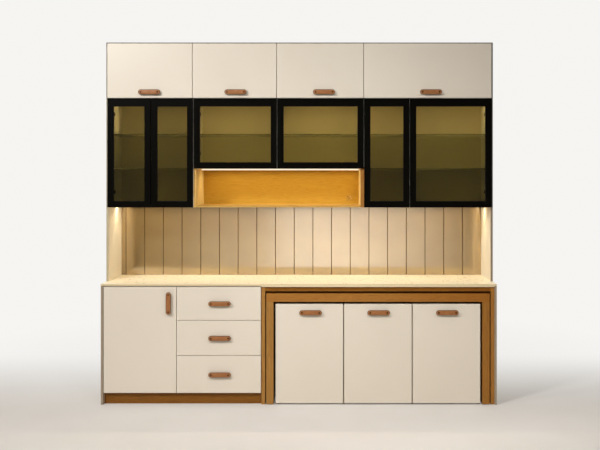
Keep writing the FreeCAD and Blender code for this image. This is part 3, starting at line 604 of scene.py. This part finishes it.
# Fronts: four flaps over the cases, the base door, three drawer fronts and three tall pull-out fronts.
# 20 mm board sprayed with cream satin lacquer, edges eased by hand before spraying; hung on hinges or
# screwed to the boxes.
cream_lacquer = smooth_board(
    "cream_lacquer", paint(222, 211, 195), paint(218, 207, 190),
    clouds=1.4, gloss=(0.33, 0.4), peel=900.0, peel_depth=0.00009, specular=0.45,
)
dress(
    cream_lacquer,
    *[f"flap_{i}_panel" for i in (1, 2, 3, 4)], "base_door_panel",
    *[f"drawer_{i}_front" for i in (1, 2, 3)], *[f"pullout_{i}_front" for i in (1, 2, 3)],
)

# Glass doors: four mitred black profiles round a tinted pane, and a soft gasket along the pane's edge; on
# doors 2 and 3 the profile's right side face is coloured grey.
# Black anodised aluminium, brown-tinted glass 5 mm thick, rubber gasket pressed in from the front.
STILE_W = 0.042
TOP_RAIL_W = 0.054
PANE_FACE = 0.0075
GASKET_R = 0.0018
GASKET_SIDES = 8
SIDE_GREY = paint(226, 222, 214)
GREY_SIDE_DOORS = (2, 3)
GREY_SIDE_T = 0.0004


def anodised(name, grey_side_x):
    """Black anodised profile; right of an X in metres, if one is given, its side face is grey."""
    material, tree, shader = finish(name, {"Specular IOR Level": 0.03})
    place = place_of(tree)
    colour = tone(tree, mottle(tree, place, 240.0), paint(9, 8, 5), paint(6, 5, 3))
    if grey_side_x is not None:
        strip = reckon(tree, "GREATER_THAN", axes(tree, place)["X"], grey_side_x)
        colour = tone(tree, strip, colour, SIDE_GREY)
    tree.links.new(colour, shader.inputs["Base Color"])
    tree.links.new(mottle(tree, place, 1500.0, 0.36, 0.5), shader.inputs["Roughness"])
    relief(tree, shader, mottle(tree, place, 2400.0, detail=1.0), 0.00004)
    return material


tinted_glass = glass(
    "tinted_glass", (0.4, 0.362, 0.195, 1.0), (0.02, 0.017, 0.009, 1.0), roughness=0.015, ior=1.4,
)
rubber = smooth_board(
    "gasket_rubber", paint(20, 20, 19), paint(14, 14, 13),
    clouds=90.0, gloss=(0.6, 0.75), peel=1700.0, peel_depth=0.00006,
)


def gasket_tree():
    """A round bead along a closed path."""
    tree, given, output = new_tree("gasket_bead", [("Radius", "NodeSocketFloat")])
    path = add(tree, "GeometryNodeMeshToCurve", {"Mesh": given.outputs[0]})
    bead = add(
        tree, "GeometryNodeCurvePrimitiveCircle",
        {"Resolution": GASKET_SIDES, "Radius": given.outputs["Radius"]},
    )
    tube = add(
        tree, "GeometryNodeCurveToMesh", {"Curve": path.outputs[0], "Profile Curve": bead.outputs[0]},
    )
    close_tree(tree, tube.outputs[0], rubber, output)
    return tree


gasket_bead = gasket_tree()
for i in range(1, 7):
    frame_node = f"glass_door_{i}_frame"
    low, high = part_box(frame_node)
    grey_side_x = high.x - GREY_SIDE_T if i in GREY_SIDE_DOORS else None
    dress(anodised(f"black_anodised_{i}", grey_side_x), frame_node)
    dress(tinted_glass, f"glass_door_{i}_pane")
    y = low.y + PANE_FACE - GASKET_R
    left, right = low.x + STILE_W, high.x - STILE_W
    foot, head = low.z + STILE_W, high.z - TOP_RAIL_W
    corners = [(left, y, foot), (right, y, foot), (right, y, head), (left, y, head)]
    sides = [(0, 1), (1, 2), (2, 3), (3, 0)]
    gasket = bake_tree(f"glass_door_{i}_gasket", corners, sides, gasket_bead, {"Radius": GASKET_R})
    set_out(f"glass_door_{i}_gasket", gasket, f"glass_door_{i}")

# Hinges of the flaps and doors, with a black cap over each of the glass doors' arms, and the rails that the
# drawers and pull-outs run on.
# Black-nickel steel arms screwed to the boards, turned pins, snap-on plastic caps; rolled rails in nickel.
CAP_H = 0.024
CAP_DEPTH = 0.033
CAP_BACK = 0.0575
CAP_ROUND = 0.004
CAP_ROUND_STEPS = 4
HINGE_INSET = 0.105
black_nickel = steel_finish("black_nickel", paint(58, 54, 49), 0.34)
dress(black_nickel, "hinge_arms", "hinge_pins")
cap_plastic = smooth_board(
    "cap_plastic", paint(26, 24, 21), paint(19, 18, 16),
    clouds=90.0, gloss=(0.45, 0.58), peel=1700.0, peel_depth=0.00006,
)


def cap_tree():
    """A block with rounded corners at every point, standing forward of it."""
    sizes = [(label, "NodeSocketFloat") for label in ("Width", "Height", "Depth", "Round")]
    tree, given, output = new_tree("hinge_caps", sizes)
    plan = add(
        tree, "GeometryNodeCurvePrimitiveQuadrilateral",
        {"Width": given.outputs["Width"], "Height": given.outputs["Height"]},
    )
    eased = add(
        tree, "GeometryNodeFilletCurve",
        {"Curve": plan.outputs[0], "Count": CAP_ROUND_STEPS, "Radius": given.outputs["Round"]}, mode="POLY",
    )
    back = add(tree, "GeometryNodeFillCurve", {"Curve": eased.outputs[0]}, mode="NGONS")
    raised = add(
        tree, "GeometryNodeExtrudeMesh",
        {"Mesh": back.outputs[0], "Offset Scale": given.outputs["Depth"]}, mode="FACES",
    )
    turned = add(tree, "GeometryNodeFlipFaces", {"Mesh": back.outputs[0]})
    closed = add(
        tree, "GeometryNodeMergeByDistance", {"Geometry": joined(tree, raised.outputs[0], turned.outputs[0])},
    )
    rows = add(
        tree, "GeometryNodeInstanceOnPoints",
        {"Points": given.outputs[0], "Instance": closed.outputs[0], "Rotation": (math.pi / 2, 0, 0)},
    )
    close_tree(tree, rows.outputs[0], cap_plastic, output)
    return tree


hinge_caps = cap_tree()
CAP_WALLS = (
    CASE_WALLS[0][0], CASE_WALLS[0][1], CASE_WALLS[1][0],
    CASE_WALLS[2][1], CASE_WALLS[3][0], CASE_WALLS[4][1],
)
for i, wall in enumerate(CAP_WALLS):
    low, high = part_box(f"glass_door_{i + 1}_frame")
    nose = low.x + STILE_W if wall - low.x < high.x - wall else high.x - STILE_W
    levels = (low.z + HINGE_INSET, high.z - HINGE_INSET)
    spots = [((wall + nose) / 2, low.y + CAP_BACK, z) for z in levels]
    caps = bake_tree(
        f"hinge_caps_{i + 1}", spots, [], hinge_caps,
        {"Width": abs(nose - wall), "Height": CAP_H, "Depth": CAP_DEPTH, "Round": CAP_ROUND},
    )
    set_out(f"hinge_caps_{i + 1}", caps, "cabinet")
nickel = steel_finish("nickel", paint(190, 184, 172), 0.3)
dress(nickel, "runner_rails")

# Countertop over the whole base: a slab with sharp polished edges, and a lip as a second layer over the
# table bay.
# Cream engineered stone with a fine speckle, glued to the base.
EDGE_LIP = 0.001
stone, tree, shader = finish(
    "counter_stone",
    {"Specular IOR Level": 0.5, "Coat Weight": 0.1, "Coat Roughness": 0.2},
)
place = place_of(tree)
clouds = tone(tree, mottle(tree, place, 4.0, detail=4.0), paint(250, 240, 214), paint(246, 234, 204))
grit = mottle(tree, place, 520.0, 0.0, 0.02, detail=1.0, window=(0.6, 0.75))
speckled = tone(tree, grit, clouds, paint(238, 226, 196))
# Painted shade: the upright front face is a darker tan than the top.
front_face_shade = reckon(tree, "LESS_THAN", axes(tree, place)["Y"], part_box("countertop")[0].y + EDGE_LIP)
tree.links.new(tone(tree, front_face_shade, speckled, paint(216, 196, 158)), shader.inputs["Base Color"])
tree.links.new(mottle(tree, place, 40.0, 0.26, 0.36), shader.inputs["Roughness"])
relief(tree, shader, mottle(tree, place, 700.0, detail=1.0), 0.00003)
dress(stone, "countertop")

# Oak of the base: the lining of the table bay, the toe-kick, and the table itself.
# Brown oak boards, paler on the left, deeper on the right; posts and legs have upright grain, the top, the
# header and the kick run level. Glued and doweled, the table on nylon glides.
BROWN_OAK = (paint(164, 112, 50), paint(147, 95, 41), paint(110, 68, 28))
PALE_OAK = (paint(164, 119, 59), paint(147, 101, 49), paint(110, 72, 34))
# Painted shade: the header under the counter and the kick recessed under the fronts are darkened.
KICK_SHADE = (0.62, 0.57, 0.42, 1.0)
HEADER_SHADE = (0.64, 0.51, 0.275, 1.0)
TOP_STAIN = (0.99, 0.86, 0.68, 1.0)
POST_DEEPER = (1.0, 0.88, 0.72, 1.0)
TABLE_DEEPER = (0.87, 0.75, 0.545, 1.0)
LINING_T = 0.025
HEADER_T = 0.03
TABLE_T = 0.055
EVERYWHERE = 10.0
low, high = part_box("bay_lining")
middle_x = (low.x + high.x) / 2
lining_zone = (middle_x, (high.x - low.x) / 2 - LINING_T, high.z - HEADER_T)
lining_oak = oak(
    "lining_oak", *PALE_OAK, lining_zone, level_darkening=HEADER_SHADE, drift=(middle_x, high.x, POST_DEEPER),
)
dress(lining_oak, "bay_lining")
low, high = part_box("table_boards")
middle_x = (low.x + high.x) / 2
table_zone = (0.0, EVERYWHERE, high.z - TABLE_T)
table_oak = oak(
    "table_oak", *PALE_OAK, table_zone, level_darkening=TOP_STAIN, drift=(middle_x, high.x, TABLE_DEEPER),
)
dress(table_oak, "table_boards")
kick_oak = oak("kick_oak", *BROWN_OAK, (0.0, EVERYWHERE, BELOW_ALL), level_darkening=KICK_SHADE)
dress(kick_oak, "toe_kick")
nylon = smooth_board(
    "nylon", paint(70, 66, 60), paint(60, 57, 52),
    clouds=80.0, gloss=(0.5, 0.6), peel=1500.0, peel_depth=0.00005,
)
dress(nylon, "table_glides")

# Pulls: a crowned pill of saddle leather on a core, stitched round its rim, on two turned posts.
# Tan leather with burnished edges, waxed thread, bronze posts and rivets; fixed by a screw through each post.
PULL_L = 0.15
PULL_W = 0.034
PULL_T = 0.009
PULL_GAP = 0.015
RIM_SECTION = (
    (0.0014, 0.0), (0.0003, 0.0008), (0.0, 0.0024), (0.0, 0.0046), (0.0005, 0.006), (0.0014, 0.0069),
    (0.0028, 0.0075), (0.0043, 0.0077), (0.0049, 0.0073), (0.0056, 0.0073), (0.0062, 0.0078),
    (0.0082, 0.0083), (0.0108, 0.0087), (0.0136, 0.0089), (0.0162, 0.009),
)
BURNISHED_RINGS = 8
PILL_STEPS = 20
STITCH_INSET = 0.00525
STITCH_DEPTH = 0.0074
STITCH_PITCH = 0.0042
STITCH_SIZE = (0.0029, 0.0008, 0.0008)
POST_R = 0.008
POST_SUNK = 0.001
POST_SIDES = 28
FOOT_R = POST_R * 1.25
FOOT_T = 0.002
RIVET_R = 0.006
RIVET_SUNK = 0.0003
RIVET_FLATNESS = 0.34
RIVET_INSET = 0.018

leather, tree, shader = finish("saddle_leather", {"Specular IOR Level": 0.42, "Sheen Weight": 0.08})
place = place_of(tree)
hide = tone(tree, mottle(tree, place, 38.0, detail=4.0), paint(173, 113, 61), paint(150, 92, 46))
# Painted shade in the pebble grain: the creases between the pebbles are darkened.
creases = add(tree, "ShaderNodeTexVoronoi", {"Vector": place, "Scale": 850.0}, feature="DISTANCE_TO_EDGE")
pebble = ramp(tree, creases.outputs["Distance"], 0.0, 0.22)
crease_shade = ramp(tree, pebble, 0.0, 1.0, 0.45, 0.0)
tree.links.new(tone(tree, crease_shade, hide, paint(106, 64, 30)), shader.inputs["Base Color"])
tree.links.new(mottle(tree, place, 300.0, 0.4, 0.56), shader.inputs["Roughness"])
relief(tree, shader, pebble, 0.00012, 0.5)
burnish = smooth_board(
    "burnished_edge", paint(122, 80, 44), paint(102, 64, 34),
    clouds=120.0, gloss=(0.3, 0.42), peel=900.0, peel_depth=0.00006,
)
thread = smooth_board(
    "waxed_thread", paint(206, 158, 104), paint(186, 136, 86),
    clouds=500.0, gloss=(0.5, 0.65), peel=3000.0, peel_depth=0.00008,
)
bronze = steel_finish("bronze", paint(66, 43, 26), 0.42)


def pill(inset, depth):
    """One ring of the pull's outline, drawn in from its edge, at a depth in front of its back."""
    radius = PULL_W / 2 - inset
    centre = (PULL_L - PULL_W) / 2
    ring = []
    for side in (1, -1):
        for i in range(PILL_STEPS + 1):
            angle = math.pi / 2 - math.pi * i / PILL_STEPS
            u = side * (centre + radius * math.cos(angle))
            ring.append(Vector((u, -PULL_GAP - depth, side * radius * math.sin(angle))))
    return ring


def stitch_tree():
    """A stitch lying along a closed path at every step."""
    sizes = [("Pitch", "NodeSocketFloat"), ("Stitch", "NodeSocketVector")]
    tree, given, output = new_tree("pull_stitches", sizes)
    path = add(tree, "GeometryNodeMeshToCurve", {"Mesh": given.outputs[0]})
    steps = add(
        tree, "GeometryNodeResampleCurve",
        {"Curve": path.outputs[0], "Length": given.outputs["Pitch"]}, mode="LENGTH",
    )
    grain = add(tree, "GeometryNodeMeshUVSphere", {"Segments": 6, "Rings": 4, "Radius": 0.5})
    run = add(tree, "GeometryNodeInputTangent")
    turn = add(tree, "FunctionNodeAlignRotationToVector", {"Vector": run.outputs[0]}, axis="X")
    rows = add(
        tree, "GeometryNodeInstanceOnPoints",
        {"Points": steps.outputs[0], "Instance": grain.outputs["Mesh"], "Rotation": turn.outputs[0],
         "Scale": given.outputs["Stitch"]},
    )
    close_tree(tree, rows.outputs[0], thread, output)
    return tree


def pull_bar(rings):
    """The body of the pull from rings of its outline, open at its back and front."""
    shape = bmesh.new()
    loops = [[shape.verts.new(p) for p in pill(inset, depth)] for inset, depth in rings]
    count = len(loops[0])
    for near, far in zip(loops, loops[1:]):
        for i in range(count):
            j = (i + 1) % count
            shape.faces.new((near[j], near[i], far[i], far[j]))
    return shape, loops


outline = pill(STITCH_INSET, STITCH_DEPTH)
stitch_mesh = bake_tree(
    "stitches", outline, [(i, (i + 1) % len(outline)) for i in range(len(outline))],
    stitch_tree(), {"Pitch": STITCH_PITCH, "Stitch": STITCH_SIZE},
)


def pull_mesh(name):
    """One pull lying level at the origin, its door face at Y 0."""
    rim, loops = pull_bar(RIM_SECTION[:BURNISHED_RINGS])
    rim.faces.new(loops[0])
    crown, loops = pull_bar(RIM_SECTION[BURNISHED_RINGS - 1:])
    crown.faces.new(loops[-1][::-1])
    stitches = bmesh.new()
    stitches.from_mesh(stitch_mesh)
    post_l = PULL_GAP + POST_SUNK
    rivet_y = RIVET_SUNK - PULL_GAP - PULL_T
    fixings = []
    for u in (RIVET_INSET - PULL_L / 2, PULL_L / 2 - RIVET_INSET):
        fixings.append(disc(POST_R, post_l, Vector((u, -post_l / 2, 0.0)), POST_SIDES))
        fixings.append(disc(FOOT_R, FOOT_T, Vector((u, -FOOT_T / 2, 0.0)), POST_SIDES))
        dome = bmesh.new()
        seat = Matrix.Translation((u, rivet_y, 0.0)) @ Matrix.Diagonal((1.0, RIVET_FLATNESS, 1.0, 1.0))
        bmesh.ops.create_uvsphere(dome, u_segments=20, v_segments=10, radius=RIVET_R, matrix=seat)
        fixings.append(dome)
    return gather(name, [(burnish, [rim]), (leather, [crown]), (thread, [stitches]), (bronze, fixings)])


PULL_BODIES = (
    *[f"flap_{i}" for i in (1, 2, 3, 4)], "base_door",
    *[f"drawer_{i}" for i in (1, 2, 3)], *[f"pullout_{i}" for i in (1, 2, 3)],
)
for body in PULL_BODIES:
    low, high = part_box(body + "_handle")
    upright = high.z - low.z > high.x - low.x
    mesh = pull_mesh(body + "_pull")
    turn = Matrix.Rotation(math.pi / 2, 4, "Y") if upright else Matrix.Identity(4)
    mesh.transform(Matrix.Translation(((low.x + high.x) / 2, high.y, (low.z + high.z) / 2)) @ turn)
    pull = set_out(body + "_pull", mesh, body)
    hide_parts(body + "_handle")
bpy.data.meshes.remove(stitch_mesh)

# Studio floor: a plain pale sheet that keeps the object's shadow.
# Matt paper that runs out into the surround behind the object and at its own edges.
scene = bpy.context.scene
scene.view_settings.view_transform = "Standard"
BACKDROP = (0.923, 0.91, 0.887, 1.0)
FLOOR_HALF = 3.6
BACK_FADE_Y = (-0.6, 1.4)
EDGE_FADE = (1.9, 3.3)
HAZE_LEVELS = (0.94, 1.0)
floor_mesh = bpy.data.meshes.new("floor")
floor_mesh.from_pydata(
    [(-FLOOR_HALF, -FLOOR_HALF, 0.0), (FLOOR_HALF, -FLOOR_HALF, 0.0),
     (FLOOR_HALF, FLOOR_HALF, 0.0), (-FLOOR_HALF, FLOOR_HALF, 0.0)],
    [], [(0, 1, 2, 3)],
)
floor = bpy.data.objects.new("floor", floor_mesh)
scene.collection.objects.link(floor)
floor_finish, tree, shader = finish("studio_floor", {"Roughness": 0.85, "Specular IOR Level": 0.1})
place = place_of(tree)
sheet = tone(tree, mottle(tree, place, 3.0), paint(223, 218, 213), paint(220, 215, 209))
tree.links.new(sheet, shader.inputs["Base Color"])
reach = add(tree, "ShaderNodeVectorMath", {0: place}, operation="LENGTH").outputs["Value"]
behind = ramp(tree, axes(tree, place)["Y"], *BACK_FADE_Y, interpolation_type="SMOOTHSTEP")
around = ramp(tree, reach, *EDGE_FADE, interpolation_type="SMOOTHSTEP")
ray = add(tree, "ShaderNodeLightPath").outputs
looked_at = reckon(tree, "MAXIMUM", ray["Is Camera Ray"], ray["Is Glossy Ray"])
looked_at = reckon(tree, "MAXIMUM", looked_at, ray["Is Transmission Ray"])
amount = reckon(tree, "MULTIPLY", looked_at, reckon(tree, "MAXIMUM", behind, around))
distance = ramp(tree, reach, EDGE_FADE[0], FLOOR_HALF, *HAZE_LEVELS)
haze = add(tree, "ShaderNodeEmission", {"Color": BACKDROP, "Strength": distance})
blend = add(
    tree, "ShaderNodeMixShader", {0: amount, 1: shader.outputs["BSDF"], 2: haze.outputs["Emission"]},
)
tree.links.new(blend.outputs[0], tree.nodes["Material Output"].inputs["Surface"])
floor_mesh.materials.append(floor_finish)

# Studio surround: pale all round where it is looked at, with a soft warm light from overhead.
# Gloss mirrors a dim room in front of the object instead, with one softbox in it: its lower pane is mirrored
# in the splash panel, its upper one by way of the counter.
AMBIENT_COLOUR = (1.0, 0.965, 0.905, 1.0)
AMBIENT_LEVELS = (0.08, 0.72)
ROOM_Y = (-0.5, 0.4)
ROOM_LEVELS = (0.03, 0.9)
SOFTBOX_HEADING = (-0.014, -1.0, -0.085)
SOFTBOX_SPREAD = (0.222, 0.3, 9.0)
SOFTBOX_LEVEL = 2.38
LOWER_PANE_Z = (-0.046, -0.034)
UPPER_PANE_Z = 0.125
UPPER_PANE_EDGE = (0.02, 0.05)
UPPER_PANE_SHARE = 1.2
LEFT_EDGE_X = (-0.088, -0.046)
LEFT_EDGE_SHARE = 0.52
world = bpy.data.worlds.new("studio")
scene.world = world
world.use_nodes = True
tree = world.node_tree
direction = add(tree, "ShaderNodeTexCoord").outputs["Generated"]
heading = axes(tree, direction)
ambient = tree.nodes["Background"]
ambient.inputs["Color"].default_value = AMBIENT_COLOUR
tree.links.new(ramp(tree, heading["Z"], 0.0, 1.0, *AMBIENT_LEVELS), ambient.inputs["Strength"])
pale = add(tree, "ShaderNodeBackground", {"Color": BACKDROP, "Strength": 1.0})
dim = ramp(tree, heading["Y"], *ROOM_Y, *ROOM_LEVELS, interpolation_type="SMOOTHSTEP")
aside = add(tree, "ShaderNodeVectorMath", {0: direction, 1: SOFTBOX_HEADING}, operation="SUBTRACT")
spread = add(tree, "ShaderNodeVectorMath", {0: aside.outputs[0], 1: SOFTBOX_SPREAD}, operation="DIVIDE")
far = add(tree, "ShaderNodeVectorMath", {0: spread.outputs[0]}, operation="LENGTH").outputs["Value"]
softbox = ramp(tree, far, 0.0, 1.0, SOFTBOX_LEVEL, 0.0, interpolation_type="SMOOTHSTEP")
lower_pane = ramp(tree, heading["Z"], *LOWER_PANE_Z, 1.0, 0.0)
rise = reckon(tree, "ABSOLUTE", reckon(tree, "SUBTRACT", heading["Z"], UPPER_PANE_Z))
upper_pane = ramp(tree, rise, *UPPER_PANE_EDGE, UPPER_PANE_SHARE, 0.0)
panes = reckon(tree, "MAXIMUM", lower_pane, upper_pane)
left_edge = ramp(tree, heading["X"], *LEFT_EDGE_X, LEFT_EDGE_SHARE, 1.0, interpolation_type="SMOOTHSTEP")
room_level = reckon(tree, "MULTIPLY_ADD", softbox, reckon(tree, "MULTIPLY", panes, left_edge), dim)
room = add(tree, "ShaderNodeBackground", {"Color": BACKDROP, "Strength": room_level})
ray = add(tree, "ShaderNodeLightPath").outputs
mirrored = add(
    tree, "ShaderNodeMixShader", {0: ray["Is Glossy Ray"], 1: ambient.outputs[0], 2: room.outputs[0]},
)
looked_at = reckon(tree, "MAXIMUM", ray["Is Camera Ray"], ray["Is Transmission Ray"])
surround = add(tree, "ShaderNodeMixShader", {0: looked_at, 1: mirrored.outputs[0], 2: pale.outputs[0]})
tree.links.new(surround.outputs[0], tree.nodes["World Output"].inputs["Surface"])

# Studio lamps: a soft key at the upper left, a weak gridded one in front on the right, and a narrow one from
# the left that lifts the floor on the right.
# Square area lamps; the two weak ones aren't mirrored.


def studio_lamp(name, spot, target, size, watts, colour, spread, in_mirrors=True):
    """A square soft lamp aimed at a point, its light held to a spread in degrees."""
    data = bpy.data.lights.new(name, "AREA")
    data.size = size
    data.energy = watts
    data.color = colour
    data.spread = math.radians(spread)
    lamp = bpy.data.objects.new(name, data)
    lamp.location = spot
    lamp.rotation_euler = (Vector(target) - Vector(spot)).to_track_quat("-Z", "Y").to_euler()
    lamp.visible_camera = False
    lamp.visible_glossy = in_mirrors
    scene.collection.objects.link(lamp)


studio_lamp(
    "key", spot=(-2.77, -3.81, 3.73), target=(-0.44, 0.0, 1.9),
    size=0.8, watts=84.5, colour=(1.0, 0.993, 0.985), spread=129,
)
studio_lamp(
    "gridded", spot=(0.9, -3.6, 3.0), target=(0.1, 0.0, 0.6),
    size=1.0, watts=7.3, colour=(1.0, 1.0, 0.995), spread=60, in_mirrors=False,
)
studio_lamp(
    "floor_lamp", spot=(-2.6, -2.4, 1.8), target=(2.15, -0.72, 0.0),
    size=0.9, watts=2.3, colour=(1.0, 0.995, 0.975), spread=20, in_mirrors=False,
)

# Camera in front of the object, a little right of its middle and at eye height.
# It looks level, and its picture is shifted down and to the left, so that uprights stay upright.
CAMERA_SPOT = (0.208, -5.8475, 1.5516)
FOCAL_PX = 840.0
PICTURE_W = 600
SHIFT_PX = (-30.0, -53.0)
SENSOR_MM = 36.0
camera_data = bpy.data.cameras.new("camera")
camera_data.sensor_fit = "HORIZONTAL"
camera_data.sensor_width = SENSOR_MM
camera_data.lens = FOCAL_PX / PICTURE_W * SENSOR_MM
camera_data.shift_x = SHIFT_PX[0] / PICTURE_W
camera_data.shift_y = SHIFT_PX[1] / PICTURE_W
camera = bpy.data.objects.new("camera", camera_data)
camera.location = CAMERA_SPOT
camera.rotation_euler = (math.pi / 2, 0.0, 0.0)
scene.collection.objects.link(camera)
scene.camera = camera
